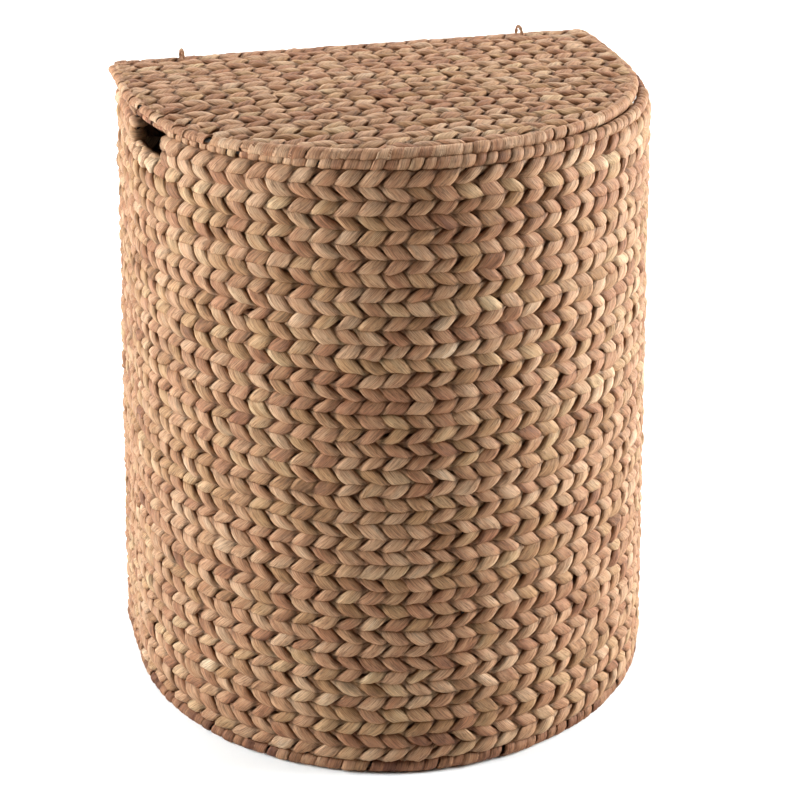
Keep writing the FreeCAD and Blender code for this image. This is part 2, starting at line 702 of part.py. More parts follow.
for ring_side, ring_x in ring_positions().items():
    node(hinge_ring(ring_side, ring_x), f"hinge_ring_{ring_side}")

# ---------------------------------------------------------------- check and write
doc.recompute()
failed = [obj.Name for obj in doc.Objects if {"Invalid", "Error"} & set(obj.State)]
if failed:
    raise RuntimeError(f"objects that failed to recompute: {failed}")
os.makedirs("parts", exist_ok=True)
for part in NODES:
    shape = part.Shape
    if shape.isNull() or not shape.isValid() or not shape.Solids:
        raise RuntimeError(f"{part.Label} has no valid solid")
    shape.exportStep(f"parts/{part.Label}.step")
    print(f"{part.Label:24s} solids {len(shape.Solids):3d}  volume {shape.Volume / 1000:9.2f} cm3")
print(f"{len(NODES)} nodes")
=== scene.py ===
"""Looks of the laundry hamper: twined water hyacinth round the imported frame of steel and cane.

Lengths are in metres. Every row of the weave is a pair of flattened stems that twist round each
other between upright stakes: at a stake one stem lies outside it and the other inside, and
between two stakes they cross. Seen from outside each stem shows as a row of plump leaves.
"""
import math
from collections import namedtuple

import bpy
import numpy as np
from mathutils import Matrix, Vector


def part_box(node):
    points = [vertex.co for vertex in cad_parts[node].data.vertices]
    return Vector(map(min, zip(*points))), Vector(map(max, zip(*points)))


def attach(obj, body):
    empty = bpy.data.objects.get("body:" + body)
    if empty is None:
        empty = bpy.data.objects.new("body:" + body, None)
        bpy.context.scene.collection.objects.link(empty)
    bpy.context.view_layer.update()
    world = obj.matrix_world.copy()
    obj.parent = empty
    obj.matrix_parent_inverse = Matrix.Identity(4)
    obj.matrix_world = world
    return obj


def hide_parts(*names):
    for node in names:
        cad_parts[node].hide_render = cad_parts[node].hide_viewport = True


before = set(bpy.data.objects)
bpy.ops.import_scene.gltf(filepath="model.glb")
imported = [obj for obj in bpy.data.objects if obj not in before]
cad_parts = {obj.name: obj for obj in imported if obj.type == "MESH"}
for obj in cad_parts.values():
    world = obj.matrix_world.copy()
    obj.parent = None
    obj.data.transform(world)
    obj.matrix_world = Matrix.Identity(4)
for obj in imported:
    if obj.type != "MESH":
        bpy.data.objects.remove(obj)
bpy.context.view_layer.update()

MM = 0.001
random = np.random.default_rng(7)

# ---------------------------------------------------------------- sizes
WALL_THICKNESS = 14 * MM
BACK_STATIONS = 22            # stake spacings along the back
FRONT_STATIONS = 48           # stake spacings round the sides and the front
STATIONS = FRONT_STATIONS + BACK_STATIONS
WALL_ROWS = 43
ROWS_IN_A_BAND = 8
LOW_ROW, HIGH_ROW = 1.06, 0.96   # height of the lowest and the highest row, as shares of the mean
CORNER_SOFTNESS = 0.55        # how far a rear corner is rounded, in stake spacings
LID_STAKES = 22
BASE_STAKES = 24
ROW_PITCH = 13.2 * MM         # from row to row in the lid and the base
AROUND = 10                   # points round a stem
THIN_AROUND = 8               # points round a cane rod or a cord
ALONG = 8                     # points along a stem from stake to stake
TURN_STEPS = 6                # points where a stem turns back at the end of its row
WIRE_TURN = 0.16              # how far a wall's stem loops past its last stake, in spacings
LOOP_POINTS = 14              # points in one loop of a wrap
CORNER_SAMPLES = 7            # points averaged where a rear corner is rounded
UP = (0.0, 0.0, 1.0)


# ---------------------------------------------------------------- plans read from the frame
def ring_plan(name):
    """Shift, half width, centre of the round front, back line and height of a D-shaped hoop."""
    low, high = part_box(name)
    radius = (high.z - low.z) / 2
    half = (high.x - low.x) / 2 - radius
    return {"shift": (high.x + low.x) / 2, "half": half, "center": low.y + radius + half,
            "back": high.y - radius, "height": (high.z + low.z) / 2}


rim = ring_plan("top_hoop")
foot = ring_plan("bottom_hoop")
lid_edge = ring_plan("lid_hoop")
side_length = rim["back"] - rim["center"] + WALL_THICKNESS / 2
SIDE_STATIONS = FRONT_STATIONS * side_length / (2 * side_length + math.pi * rim["half"])


def wall_plan(height):
    """Half width, centre and back line of the wall's middle face at any height."""
    share = (height - foot["height"]) / (rim["height"] - foot["height"])
    return [foot[key] + (rim[key] - foot[key]) * share for key in ("half", "center", "back")]


def sharp_outline(station, half, center, back):
    """A point of the D at a station; stations run from the left rear corner round the front."""
    station = np.mod(station, STATIONS)
    front_end = FRONT_STATIONS - SIDE_STATIONS
    angle = np.pi * np.clip((station - SIDE_STATIONS) / (front_end - SIDE_STATIONS), 0, 1)
    to_left = np.clip(station / SIDE_STATIONS, 0, 1)
    to_right = np.clip((FRONT_STATIONS - station) / SIDE_STATIONS, 0, 1)
    on_side = np.minimum(to_left, to_right)
    along_back = np.clip((station - FRONT_STATIONS) / BACK_STATIONS, 0, 1)
    x = -half * np.cos(angle) - 2 * half * along_back
    y = np.where(on_side < 1, back + (center - back) * on_side, center - half * np.sin(angle))
    return np.stack([x, y], -1)


def outline(station, plan):
    """The D with rounded rear corners, and its outward direction."""
    offsets = np.linspace(-CORNER_SOFTNESS, CORNER_SOFTNESS, CORNER_SAMPLES)

    def rounded(at):
        return np.mean([sharp_outline(at + offset, *plan) for offset in offsets], axis=0)

    step = 0.04
    ahead = rounded(station + step) - rounded(station - step)
    ahead /= np.linalg.norm(ahead, axis=-1, keepdims=True)
    return rounded(station), ahead


class Wall:
    """Places a point of the basket's wall from station, height and outward offset."""

    def __init__(self, height):
        self.height = height

    def place(self, station, rise, outward):
        z = self.height(station) + rise
        point, ahead = outline(station, wall_plan(z))
        normal = np.stack([ahead[:, 1], -ahead[:, 0]], -1)
        flat = point + normal * outward[:, None]
        zero, one = np.zeros_like(z), np.ones_like(z)
        return (np.column_stack([flat, z]), np.column_stack([ahead, zero]),
                np.column_stack([zero, zero, one]), np.column_stack([normal, zero]))


class Flat:
    """Places a point of the lid or the base: rows run across it, and outward is up."""

    def __init__(self, y, level):
        self.y, self.level = y, level

    def place(self, x, forward, outward):
        y = self.y - forward
        z = self.level(x, y) + outward
        zero, one = np.zeros_like(x), np.ones_like(x)
        return (np.column_stack([x, y, z]), np.column_stack([one, zero, zero]),
                np.column_stack([zero, -one, zero]), np.column_stack([zero, zero, one]))


# ---------------------------------------------------------------- stems
FULLNESS = 0.96               # shape of a stem's section: 1 is an ellipse, less is boxier
RIDGE_DRIFT = 55              # radians by which a stem's ridges wander round it in a metre
GRAIN_SPAN = 50               # metres of grain in which a stem starts, so that no two match


def between(positions, values):
    """Values given at whole positions, eased from one to the next."""
    whole = np.floor(positions).astype(int)
    share = positions - whole
    share = share * share * (3 - 2 * share)
    count = len(values)
    return values[whole % count] * (1 - share) + values[(whole + 1) % count] * share


def unit(vectors):
    """The same directions with a length of 1."""
    return vectors / np.maximum(np.linalg.norm(vectors, axis=-1, keepdims=True), 1e-12)


class Stems:
    """Collects tubes of flattened section and turns them into one mesh object."""

    def __init__(self, around=AROUND):
        self.around = around
        self.points, self.faces, self.stem, self.grain = [], [], [], []
        self.count = 0

    def add(self, center, radial, width, thickness, tone, hue, depth, closed, ridge):
        """A stem along center; its thickness lies along radial and its width across that.

        ridge is how far its section swells and shrinks, as a share.
        """
        if closed:
            ahead = unit(np.roll(center, -1, 0) - np.roll(center, 1, 0))
        else:
            ahead = unit(np.gradient(center, axis=0))
        thin = unit(radial - np.sum(radial * ahead, -1, keepdims=True) * ahead)
        wide = np.cross(ahead, thin)
        steps = np.linalg.norm(np.diff(center, axis=0), axis=-1)
        along = np.concatenate([[0], np.cumsum(steps)])
        angle = 2 * np.pi * np.arange(self.around) / self.around
        across = np.sign(np.cos(angle)) * np.abs(np.cos(angle)) ** FULLNESS
        height = np.sign(np.sin(angle)) * np.abs(np.sin(angle)) ** FULLNESS
        drift = random.uniform(0, 2 * np.pi) + along * RIDGE_DRIFT
        # three ridges round the stem, and two weaker ones that wander the other way
        wave = np.cos(3 * angle[None, :] + drift[:, None])
        wave = wave + 0.7 * np.cos(2 * angle[None, :] - 1.7 * drift[:, None])
        swell = 1 + ridge * wave
        width = np.broadcast_to(width, along.shape)[:, None] / 2
        thickness = np.broadcast_to(thickness, along.shape)[:, None] / 2
        a, b = across * swell * width, height * swell * thickness
        ring = center[:, None] + wide[:, None] * a[..., None] + thin[:, None] * b[..., None]
        start = random.uniform(0, GRAIN_SPAN)
        self.points.append(ring.reshape(-1, 3))
        self.grain.append(np.stack([np.broadcast_to(along[:, None] + start, a.shape), a, b],
                                   -1).reshape(-1, 3))
        stem = np.stack(np.broadcast_arrays(tone, hue, depth, along), -1)[:, :3]
        self.stem.append(np.repeat(stem, self.around, axis=0))
        self.add_faces(len(center), closed)

    def add_faces(self, rings, closed):
        """Quads between neighbouring rings of points, and caps on the ends of an open stem."""
        spans = rings if closed else rings - 1
        ring = np.arange(spans)[:, None]
        turn = np.arange(self.around)[None, :]
        after = (ring + 1) % rings
        next_turn = (turn + 1) % self.around
        quads = np.stack([ring * self.around + turn, ring * self.around + next_turn,
                          after * self.around + next_turn, after * self.around + turn], -1)
        faces = [quads.reshape(-1, 4)]
        if not closed:
            low = np.arange(self.around // 2 - 1)
            high = self.around - 1 - low
            cap = np.stack([low, high, high - 1, low + 1], -1)
            faces += [cap, cap[:, ::-1] + (rings - 1) * self.around]
        self.faces.append(np.concatenate(faces) + self.count)
        self.count += rings * self.around

    def piece(self, name, material, body, slot, *nodes):
        """One mesh object of all the stems, riding a body and standing for the nodes named."""
        points, faces = np.concatenate(self.points), np.concatenate(self.faces)
        points[:, 2] = points[:, 2].clip(0)
        mesh = bpy.data.meshes.new(name)
        mesh.vertices.add(len(points))
        mesh.vertices.foreach_set("co", points.astype(np.float32).ravel())
        mesh.loops.add(faces.size)
        mesh.loops.foreach_set("vertex_index", faces.astype(np.int32).ravel())
        mesh.polygons.add(len(faces))
        mesh.polygons.foreach_set("loop_start", np.arange(0, faces.size, 4, dtype=np.int32))
        mesh.polygons.foreach_set("use_smooth", np.ones(len(faces), bool))
        for label, values in (("stem", self.stem), ("grain", self.grain)):
            layer = mesh.attributes.new(label, "FLOAT_VECTOR", "POINT")
            layer.data.foreach_set("vector", np.concatenate(values).astype(np.float32).ravel())
        mesh.update(calc_edges=True)
        mesh.validate()
        mesh.materials.append(material)
        obj = bpy.data.objects.new(name, mesh)
        bpy.context.scene.collection.objects.link(obj)
        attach(obj, body)
        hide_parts(*nodes)


# ---------------------------------------------------------------- twined rows
# A twined pair: how far its stems stand off the stakes and rise between them, and their size
Twist = namedtuple("Twist", "outward rise width thickness")
PINCH = 0.74                  # width of a stem where it crosses the other, as a share
CROSSING_SWELL = 0.09         # how much thicker it is there, so that no gap shows
TIP_SHARE = 0.6               # how far its flat side tips up or down there
LEAF_RIDGE = 0.07             # how far its section swells and shrinks, as a share
SPLICE = 23                   # leaves before the next stem is spliced in
# How much leaves differ: shares of the rise and the width, then a length, then radians
RISE_VARIES, WIDTH_VARIES, SHIFT_VARIES, ROLL_VARIES = 0.14, 0.11, 0.5 * MM, 0.22
MEAN_TONE, STEM_TONE_VARIES, LEAF_TONE_VARIES, HUE_VARIES = 0.5, 0.06, 0.11, 0.22


def twined_row(stems, surface, twist, lay, stakes, ring, turn=0.0):
    """One row: two closed stems on a ring of stakes, or one that turns back at both ends.

    stakes are the stations of the stakes in order; lay is +1 for leaves that rise along the row.
    turn is how far the stem reaches past the last stake where it turns back.
    """
    count = len(stakes)
    last = count if ring else count - 1
    second_stem = last + 3        # number of the second stem's first leaf
    leaves = 2 * last + 8         # enough leaves for both stems
    steps = np.arange(last * ALONG + (0 if ring else 1)) / ALONG
    stations = np.append(stakes, stakes[0] + STATIONS) if ring else stakes

    def half_row(strand, position):
        phase = np.pi * (position + strand)
        station = np.interp(position, np.arange(len(stations)), stations)
        return {"along": station, "rise": lay * twist.rise * np.sin(phase),
                "outward": twist.outward * np.cos(phase), "ahead": 0 * phase,
                "up": lay * np.sin(phase), "out": np.cos(phase),
                "leaf": position + strand * second_stem}

    def turn_back(strand, position, direction):
        phase = np.pi * (position + strand)
        sign = np.cos(phase)
        sweep = np.pi * np.arange(1, TURN_STEPS + 1) / (TURN_STEPS + 1)
        station = stations[int(position)] + direction * turn * np.sin(sweep)
        flat = 0 * sweep
        return {"along": station, "rise": flat, "outward": sign * twist.outward * np.cos(sweep),
                "ahead": direction * np.sin(sweep), "up": flat, "out": sign * np.cos(sweep),
                "leaf": flat + position + strand * second_stem}

    if ring:
        runs = [half_row(0, steps), half_row(1, steps)]
    else:
        parts = [half_row(0, steps), turn_back(0, last, 1),
                 {k: v[::-1] for k, v in half_row(1, steps).items()}, turn_back(1, 0, -1)]
        runs = [{k: np.concatenate([p[k] for p in parts]) for k in parts[0]}]
    for run in runs:
        lay_stem(stems, surface, twist, run, leaves)


def lay_stem(stems, surface, twist, run, leaves):
    """Turn one stem's run along a surface into a tube, each leaf a little different."""
    vary = random.normal(0, 1, (6, leaves)).clip(-2, 2)
    leaf = run["leaf"]
    facing = np.abs(run["out"])
    rise = run["rise"] * (1 + RISE_VARIES * between(leaf, vary[0]))
    rise = rise + SHIFT_VARIES * between(leaf, vary[1])
    outward = run["outward"] + SHIFT_VARIES * between(leaf, vary[2])
    center, ahead, up, out = surface.place(run["along"], rise, outward)
    roll = ROLL_VARIES * between(leaf, vary[3])
    tip = TIP_SHARE * run["up"] + roll * run["out"]
    radial = (ahead * run["ahead"][:, None] + up * tip[:, None]
              + out * (run["out"] - roll * run["up"])[:, None])
    open_share = PINCH + (1 - PINCH) * facing
    width = twist.width * open_share * (1 + WIDTH_VARIES * between(leaf, vary[4]))
    thickness = twist.thickness * (1 + CROSSING_SWELL - CROSSING_SWELL * facing)
    stem_tone = random.normal(MEAN_TONE, STEM_TONE_VARIES, leaves // SPLICE + 2)
    stem_hue = random.uniform(0, 1, leaves // SPLICE + 2)
    number = (np.floor(leaf + 0.5).astype(int) // SPLICE) % len(stem_tone)
    tone = stem_tone[number] + LEAF_TONE_VARIES * between(leaf, vary[5])
    hue_shift = HUE_VARIES * between(leaf, random.normal(0, 1, leaves))
    hue = np.clip(stem_hue[number] + hue_shift, 0, 1)
    stems.add(center, radial, width, thickness, tone, hue, facing, True, LEAF_RIDGE)


# ---------------------------------------------------------------- materials
RELIEF_STRENGTH = 0.8
WEAVE_RELIEF, ROD_RELIEF = 1.4 * MM, 0.3 * MM
WEAVE_SPECULAR, ROD_SPECULAR = 0.32, 0.5
# Noise cells in a metre: along, across and through a stem, or along the axes for a rod
FIBRES, CREASES, BLOTCHES = (70, 1500, 1500), (45, 480, 480), (38, 120, 120)
STREAKS = (900, 900, 60)
HOLLOW_SHADE = 0.55           # brightness of a stem where it crosses the other, as a share


class Nodes:
    """A material's node tree with short calls for the nodes used here."""

    def __init__(self, name):
        self.material = bpy.data.materials.new(name)
        self.material.use_nodes = True
        self.tree = self.material.node_tree
        self.shader = self.tree.nodes["Principled BSDF"]

    def put(self, kind, inputs=None, **settings):
        made = self.tree.nodes.new(kind)
        for key, value in settings.items():
            setattr(made, key, value)
        for key, value in (inputs or {}).items():
            if isinstance(value, bpy.types.NodeSocket):
                self.tree.links.new(value, made.inputs[key])
            else:
                made.inputs[key].default_value = value
        return made

    def attribute(self, name):
        return self.put("ShaderNodeAttribute", attribute_name=name).outputs["Vector"]

    def scaled(self, vector, factors):
        return self.put("ShaderNodeVectorMath", {0: vector, 1: factors},
                        operation="MULTIPLY").outputs[0]

    def noise(self, vector, detail, roughness=0.55):
        return self.put("ShaderNodeTexNoise", {"Vector": vector, "Scale": 1.0, "Detail": detail,
                                               "Roughness": roughness}).outputs["Fac"]

    def ramp(self, value, stops):
        made = self.put("ShaderNodeValToRGB", {"Fac": value})
        elements = made.color_ramp.elements
        while len(elements) < len(stops):
            elements.new(0.5)
        for element, (position, color) in zip(elements, stops):
            element.position = position
            element.color = (*color, 1.0)
        return made.outputs["Color"]

    def math(self, operation, first, second):
        return self.put("ShaderNodeMath", {0: first, 1: second}, operation=operation).outputs[0]

    def remap(self, value, low, high, to_low, to_high):
        return self.put("ShaderNodeMapRange", {"Value": value, "From Min": low, "From Max": high,
                                               "To Min": to_low, "To Max": to_high}).outputs[0]

    def mix(self, share, first, second, blend="MIX"):
        """Mixes two colours, which are the node's inputs number 6 and 7."""
        made = self.put("ShaderNodeMix", data_type="RGBA", blend_type=blend)
        for index, value in ((0, share), (6, first), (7, second)):
            if isinstance(value, bpy.types.NodeSocket):
                self.tree.links.new(value, made.inputs[index])
            else:
                made.inputs[index].default_value = value
        return made.outputs[2]

    def finish(self, color, roughness, height, distance, specular):
        """Joins colour, roughness and relief of a depth to the shader, and gives the material."""
        bump = self.put("ShaderNodeBump", {"Height": height, "Strength": RELIEF_STRENGTH,
                                           "Distance": distance}).outputs[0]
        links = self.tree.links
        links.new(color, self.shader.inputs["Base Color"])
        links.new(roughness, self.shader.inputs["Roughness"])
        links.new(bump, self.shader.inputs["Normal"])
        self.shader.inputs["Specular IOR Level"].default_value = specular
        return self.material


def rgb(red, green, blue):
    """A colour given as 0 to 255 screen values, as the linear one that shaders use."""
    return tuple(((c / 255 + 0.055) / 1.055) ** 2.4 for c in (red, green, blue))


def gray(value):
    """A linear gray."""
    return (value, value, value)


def hyacinth(name, brightness, fibre_strength=1.0):
    """Dry water hyacinth: tan to reddish brown stems with olive ones, fine fibres lengthwise."""
    make = Nodes(name)
    stem = make.put("ShaderNodeSeparateXYZ", {0: make.attribute("stem")})
    grain = make.attribute("grain")
    fibres = make.noise(make.scaled(grain, FIBRES), detail=4, roughness=0.6)
    creases = make.noise(make.scaled(grain, CREASES), detail=3)
    blotches = make.noise(make.scaled(grain, BLOTCHES), detail=3)
    # A stem's tone, hue and depth come with it; blotches shift the tone, and the hue adds olive
    tone = make.math("ADD", stem.outputs[0], make.remap(blotches, 0.25, 0.75, -0.22, 0.22))
    warm = make.ramp(tone, [(0.0, rgb(120, 76, 54)), (0.3, rgb(168, 120, 88)),
                            (0.55, rgb(190, 147, 113)), (0.8, rgb(206, 170, 137)),
                            (1.0, rgb(222, 194, 166))])
    olive = make.ramp(tone, [(0.0, rgb(106, 80, 48)), (0.5, rgb(178, 142, 96)),
                             (1.0, rgb(214, 186, 140))])
    color = make.mix(make.remap(stem.outputs[1], 0.55, 1.0, 0.0, 0.45), warm, olive)
    # Dark lines where the crease noise passes its middle, and finer ones between the fibres
    folds = make.math("ABSOLUTE", make.math("SUBTRACT", creases, 0.5), 0.0)
    folds = make.remap(folds, 0.0, 0.045, 1.0 - 0.4 * fibre_strength, 1.0)
    shade = make.remap(fibres, 0.3, 0.75, 1.0 - 0.46 * fibre_strength, 1.18)
    shade = make.math("MULTIPLY", shade, folds)
    shade = make.math("MULTIPLY", shade, make.remap(stem.outputs[2], 0.0, 0.5,
                                                    HOLLOW_SHADE * brightness, brightness))
    color = make.mix(1.0, color, make.ramp(shade, [(0.0, gray(0.0)), (1.0, gray(1.0))]),
                     "MULTIPLY")
    height = make.math("ADD", make.math("MULTIPLY", fibres, 0.45),
                       make.math("MULTIPLY", folds, 0.6))
    return make.finish(color, make.remap(fibres, 0.2, 0.8, 0.78, 0.5), height, WEAVE_RELIEF,
                       WEAVE_SPECULAR)


def rod_finish(name, light, dark, scale, roughness):
    """Coated steel or dry cane: mottled, with streaks that run upwards."""
    make = Nodes(name)
    where = make.put("ShaderNodeTexCoord").outputs["Object"]
    mottle = make.noise(make.scaled(where, (scale, scale, scale)), detail=4)
    streaks = make.noise(make.scaled(where, STREAKS), detail=2)
    color = make.ramp(make.math("ADD", make.math("MULTIPLY", mottle, 0.6),
                                make.math("MULTIPLY", streaks, 0.4)),
                      [(0.3, dark), (0.7, light)])
    return make.finish(color, make.remap(mottle, 0.3, 0.7, roughness - 0.1, roughness + 0.12),
                       streaks, ROD_RELIEF, ROD_SPECULAR)


weave_material = hyacinth("hyacinth_weave", brightness=0.92)
edge_material = hyacinth("hyacinth_edge", brightness=0.86)
binding_material = hyacinth("smooth_strip", brightness=0.95, fibre_strength=0.6)
cane_material = rod_finish("stake_cane", rgb(150, 108, 68), rgb(92, 60, 34), 90, 0.62)
steel_material = rod_finish("frame_steel", rgb(54, 44, 34), rgb(26, 20, 15), 60, 0.68)
cord_material = hyacinth("ring_cord", brightness=0.8)

# ---------------------------------------------------------------- basket walls
wall_twist = Twist(outward=3.8 * MM, rise=4.9 * MM, width=14.2 * MM, thickness=8.4 * MM)
row_low, row_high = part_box("wall_back")[0].z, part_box("wall_back")[1].z
row_sizes = np.linspace(LOW_ROW, HIGH_ROW, WALL_ROWS)
row_tops = row_low + (row_high - row_low) * np.cumsum(row_sizes) / row_sizes.sum()
row_centers = row_tops - (row_high - row_low) * row_sizes / row_sizes.sum() / 2

LEG_RADIUS = 2 * MM           # of the wires at both ends of a hand hole
handle_low, handle_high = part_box("handle_frame_left")
SILL_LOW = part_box("handle_binding_left")[0].z
UNDER_SILL = 9 * MM           # how far a row may rise past a sill's underside and still dip under
rows_under = row_tops < SILL_LOW + UNDER_SILL
top_row_under = row_centers[rows_under].max()
TOP_DIP = (row_tops[rows_under].max() - SILL_LOW).clip(0)
DIP_HALF, DIP_STEEPNESS = 2.4, 3.0    # half a dip's length and how sharply it ends, in spacings
DIP_FADE = 40 * MM            # how far below a hand hole the rows still dip
ROW_WAVE, ROW_WAVES = 0.45 * MM, 12


def side_station(y):
    """The station on the left of the round front at a depth y, at the rim."""
    angle = math.asin((rim["center"] - y) / rim["half"])
    return SIDE_STATIONS + (FRONT_STATIONS - 2 * SIDE_STATIONS) * angle / math.pi


LEG_REAR = side_station(handle_high.y - LEG_RADIUS)
LEG_FRONT = side_station(handle_low.y + LEG_RADIUS)
HANDLE_MIDDLE = (LEG_REAR + LEG_FRONT) / 2


def row_height(row):
    """Height of a row round the basket: it waves a little, and dips below a hand hole."""
    waves = random.normal(0, 1, ROW_WAVES)
    base = row_centers[row]

    def height(station):
        wave = ROW_WAVE * between(np.mod(station, STATIONS) / STATIONS * ROW_WAVES, waves)
        if base >= SILL_LOW:
            return base + wave
        distance = np.minimum(abs(station - HANDLE_MIDDLE),
                              abs(station - (FRONT_STATIONS - HANDLE_MIDDLE)))
        near = 1 / (1 + np.exp((distance - DIP_HALF) * DIP_STEEPNESS))
        return base + wave - near * TOP_DIP * math.exp((base - top_row_under) / DIP_FADE)

    return height


def wall_row(stems, row):
    """A row round the whole basket, or beside the hand holes one in front and one behind."""
    lay = 1 if (WALL_ROWS - 1 - row) % 2 == 0 else -1
    surface = Wall(row_height(row))
    if rows_under[row]:
        twined_row(stems, surface, wall_twist, lay, np.arange(STATIONS, dtype=float), True)
        return
    rear, front = math.floor(LEG_REAR) - 1, math.ceil(LEG_FRONT)
    front_stakes = [LEG_FRONT, *range(front, FRONT_STATIONS - front + 1),
                    FRONT_STATIONS - LEG_FRONT]
    back_stakes = [FRONT_STATIONS - LEG_REAR, *range(FRONT_STATIONS - rear, STATIONS + rear + 1),
                   STATIONS + LEG_REAR]
    for stakes in (front_stakes, back_stakes):
        twined_row(stems, surface, wall_twist, lay, np.array(stakes, float), False, WIRE_TURN)


wall_nodes = [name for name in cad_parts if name.startswith("wall_")]
for band, first in enumerate(range(0, WALL_ROWS, ROWS_IN_A_BAND), start=1):
    stems = Stems()
    for row in range(first, min(first + ROWS_IN_A_BAND, WALL_ROWS)):
        wall_row(stems, row)
    stems.piece(f"wall_weave_{band}", weave_material, "basket", "hyacinth_weave", *wall_nodes)


# ---------------------------------------------------------------- wraps round the hoops
LOOP_SHIFT = 0.3              # how far a loop shifts on its rod at an unevenness of 1, in loops
WRAP_RIDGE = 0.04
WRAP_REACH_VARIES, WRAP_WIDTH_VARIES, WRAP_TONE_VARIES = 0.35 * MM, 0.12, 0.13
WRAP_HUE, WRAP_HUE_VARIES = 0.4, 0.25


def wrapped_hoop(stems, path, loops, radius, width, thickness, tone, unevenness=0.3,
                 closed=True):
    """A flat stem wound round a rod: path(share) gives points, outward and up directions."""
    count = loops * LOOP_POINTS
    share = np.arange(count) / count if closed else np.linspace(0, 1, count)
    loop = share * loops
    vary = random.normal(0, 1, (5, loops + 2)).clip(-2, 2)
    moved = share + unevenness * between(loop, vary[0]) / loops * LOOP_SHIFT
    center, out, up = path(np.mod(moved, 1.0) if closed else np.clip(moved, 0, 1))
    angle = 2 * np.pi * loop
    reach = radius - thickness / 2 + WRAP_REACH_VARIES * between(loop, vary[1])
    radial = out * np.cos(angle)[:, None] + up * np.sin(angle)[:, None]
    stems.add(center + radial * reach[:, None], radial,
              width * (1 + WRAP_WIDTH_VARIES * between(loop, vary[2])), thickness,
              tone + WRAP_TONE_VARIES * between(loop, vary[3]),
              WRAP_HUE + WRAP_HUE_VARIES * between(loop, vary[4]), 1.0, closed, WRAP_RIDGE)


def hoop_path(start, end, height):
    """The wall's middle face between two stations at a height, as points and directions."""
    def path(share):
        station = start + (end - start) * share
        point, ahead = outline(station, wall_plan(height))
        level = np.full(len(share), height)
        zero = 0 * level
        return (np.column_stack([point, level]), np.column_stack([ahead[:, 1], -ahead[:, 0], zero]),
                np.column_stack([zero, zero, zero + 1]))
    return path


RIM_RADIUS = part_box("rim_wrap_front")[1].z - rim["height"]
RIM_WIDTH, RIM_THICKNESS = 11 * MM, 4.4 * MM
RIM_PARTS = {                 # first and last station, loops and tone
    "rim_wrap_front": (LEG_FRONT, FRONT_STATIONS - LEG_FRONT, 54, 0.52),
    "rim_wrap_back": (FRONT_STATIONS - LEG_REAR, STATIONS + LEG_REAR, 62, 0.5)}
for node, (start, end, loops, tone) in RIM_PARTS.items():
    stems = Stems()
    wrapped_hoop(stems, hoop_path(start, end, rim["height"]), loops, RIM_RADIUS, RIM_WIDTH,
                 RIM_THICKNESS, tone, closed=False)
    stems.piece(f"{node}_strands", edge_material, "basket", "hyacinth_weave", node)

FOOT_LOOPS, FOOT_TONE = 118, 0.22
FOOT_WIDTH, FOOT_THICKNESS = 13 * MM, 4 * MM
FOOT_RADIUS = foot["height"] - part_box("bottom_binding")[0].z
stems = Stems()
wrapped_hoop(stems, hoop_path(0, STATIONS, foot["height"]), FOOT_LOOPS, FOOT_RADIUS, FOOT_WIDTH,
             FOOT_THICKNESS, FOOT_TONE)
stems.piece("bottom_binding_strands", edge_material, "basket", "hyacinth_weave",
            "bottom_binding")

# The grip wrap's low tone of 0.1 is painted shade: it darkens the wrap at the top of each hand
# hole, under the lid's edge, where shadow falls.
STRIPS = {"handle_binding": (0.72, 3.7 * MM), "grip_wrap": (0.1, 3.2 * MM)}    # tone, radius
STRIP_LOOPS, STRIP_WIDTH, STRIP_THICKNESS = 9, 11 * MM, 1.6 * MM
STRIP_INSET = 0.1             # from a hand hole's wires to the strip's ends, in stake spacings
for side in ("left", "right"):
    for part, (tone, radius) in STRIPS.items():
        node = f"{part}_{side}"
        low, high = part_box(node)
        stems = Stems()
        start, end = LEG_REAR + STRIP_INSET, LEG_FRONT - STRIP_INSET
        if side == "right":
            start, end = FRONT_STATIONS - end, FRONT_STATIONS - start
        wrapped_hoop(stems, hoop_path(start, end, (low.z + high.z) / 2), STRIP_LOOPS, radius,
                     STRIP_WIDTH, STRIP_THICKNESS, tone, closed=False)
        stems.piece(f"{node}_strip", binding_material, "basket", "smooth_binding", node)

# ---------------------------------------------------------------- base
base_twist = Twist(outward=3.2 * MM, rise=3.6 * MM, width=12.6 * MM, thickness=5.6 * MM)
base_low, base_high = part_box("base_panel")
BASE_TURN = 2.5 * MM          # how far a row loops past its last stake
BASE_SIDE_INSET, BASE_BACK_INSET, BASE_RISE = 3 * MM, 1 * MM, 0.6 * MM
END_GAP = 0.6                 # least gap from a row's end to its next stake, in stake spacings


def chord(y, center, half):
    """Half the width of a D at a depth y."""
    if y >= center:
        return half
    return math.sqrt(max(half * half - (center - y) ** 2, 0.0))


def flat_rows(stems, shift, half, center, back, spacing, level, twist, turn):
    """Twined rows across a D-shaped panel, from its back line to its round front."""
    depth = back - (center - half)
    rows = round(depth / ROW_PITCH)
    pitch = depth / rows
    for row in range(rows):
        y = back - pitch * (row + 0.5)
        reach = chord(y, center, half)
        inner = [x for x in spacing if abs(x) < reach - END_GAP * (spacing[1] - spacing[0])]
        if len(inner) < 2:
            continue
        stakes = shift + np.array([-reach, *inner, reach])
        twined_row(stems, Flat(y, level), twist, 1 if row % 2 else -1, stakes, False, turn)


base_half = (base_high.x - base_low.x) / 2
base_center = base_low.y + base_half
base_spacing = [base_half * (2 * i / BASE_STAKES - 1) for i in range(1, BASE_STAKES)]
base_middle = (base_low.z + base_high.z) / 2 + BASE_RISE
stems = Stems()
flat_rows(stems, 0.0, base_half - BASE_SIDE_INSET, base_center, base_high.y - BASE_BACK_INSET,
          base_spacing, lambda x, y: base_middle + 0 * x, base_twist, BASE_TURN)
stems.piece("base_weave", edge_material, "basket", "hyacinth_weave", "base_panel")

